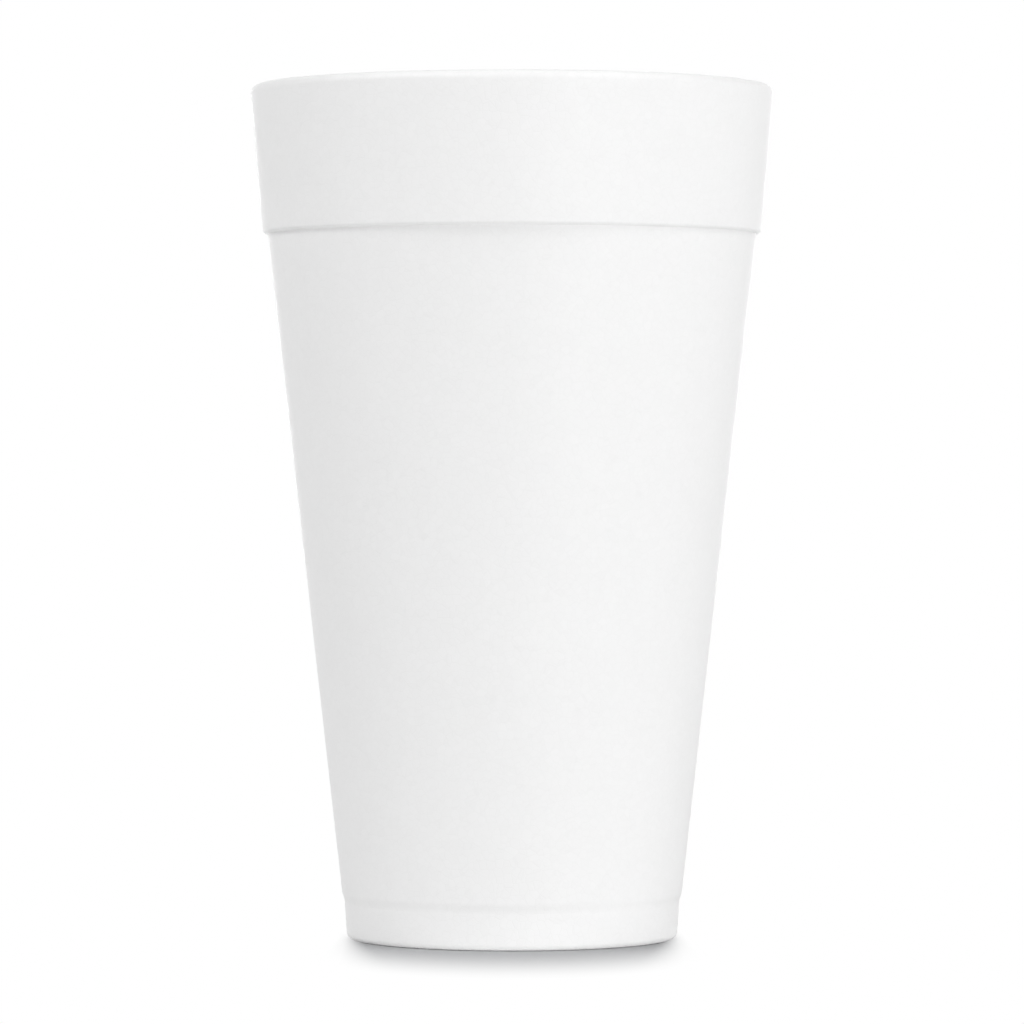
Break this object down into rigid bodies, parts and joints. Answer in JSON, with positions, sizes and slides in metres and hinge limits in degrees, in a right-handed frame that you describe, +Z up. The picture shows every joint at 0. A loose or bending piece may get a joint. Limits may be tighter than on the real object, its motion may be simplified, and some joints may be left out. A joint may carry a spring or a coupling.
{
  "type": "foam cup",
  "caption": "Tall tapered foam drinking cup with a thick band round the rim, a set-in foot and an inner ledge that stops the next cup when nested.",
  "frame": {"origin": "centre of the standing ring, in the plane it stands on", "axes": "+Z up along the cup's axis; the cup is round, so X and Y are any two level directions"},
  "size_m": [0.0954, 0.0954, 0.1556],
  "materials": {
    "foam": "white expanded-polystyrene beads fused in a smooth mould, satin, faint cell pattern"
  },
  "bodies": {
    "root": {"cup": "foam"}
  },
  "joints": []
}
